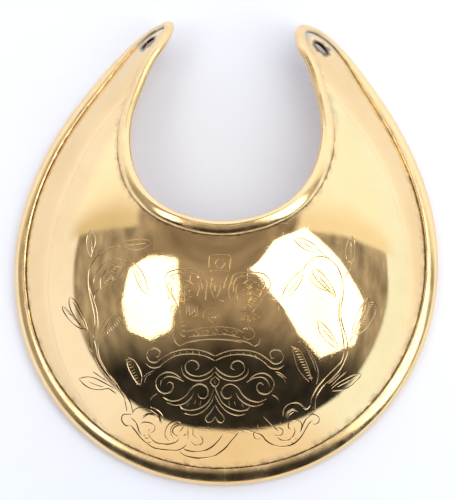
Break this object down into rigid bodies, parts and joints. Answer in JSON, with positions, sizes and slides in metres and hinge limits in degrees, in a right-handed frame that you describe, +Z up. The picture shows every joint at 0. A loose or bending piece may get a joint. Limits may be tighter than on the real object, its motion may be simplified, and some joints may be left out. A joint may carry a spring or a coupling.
{
  "type": "gilt crescent gorget",
  "caption": "Domed crescent breast plate of gilt sheet brass with horns round the neck, its edge turned over a wire to the front as a bead, and a ribbon hole near each horn's rounded end.",
  "frame": {"origin": "under the middle of the plate, on the surface that it lies on", "axes": "+Z up out of the front of the plate, which lies on its back; +Y towards the horns; +X across the plate"},
  "size_m": [0.122, 0.1344, 0.028],
  "materials": {
    "gilt_brass": "fire-gilt sheet brass, polished bright, with fine rubbing marks, tarnish along the bead's seam and engraved lines"
  },
  "bodies": {
    "root": {"gorget_plate": "gilt_brass"}
  },
  "joints": []
}
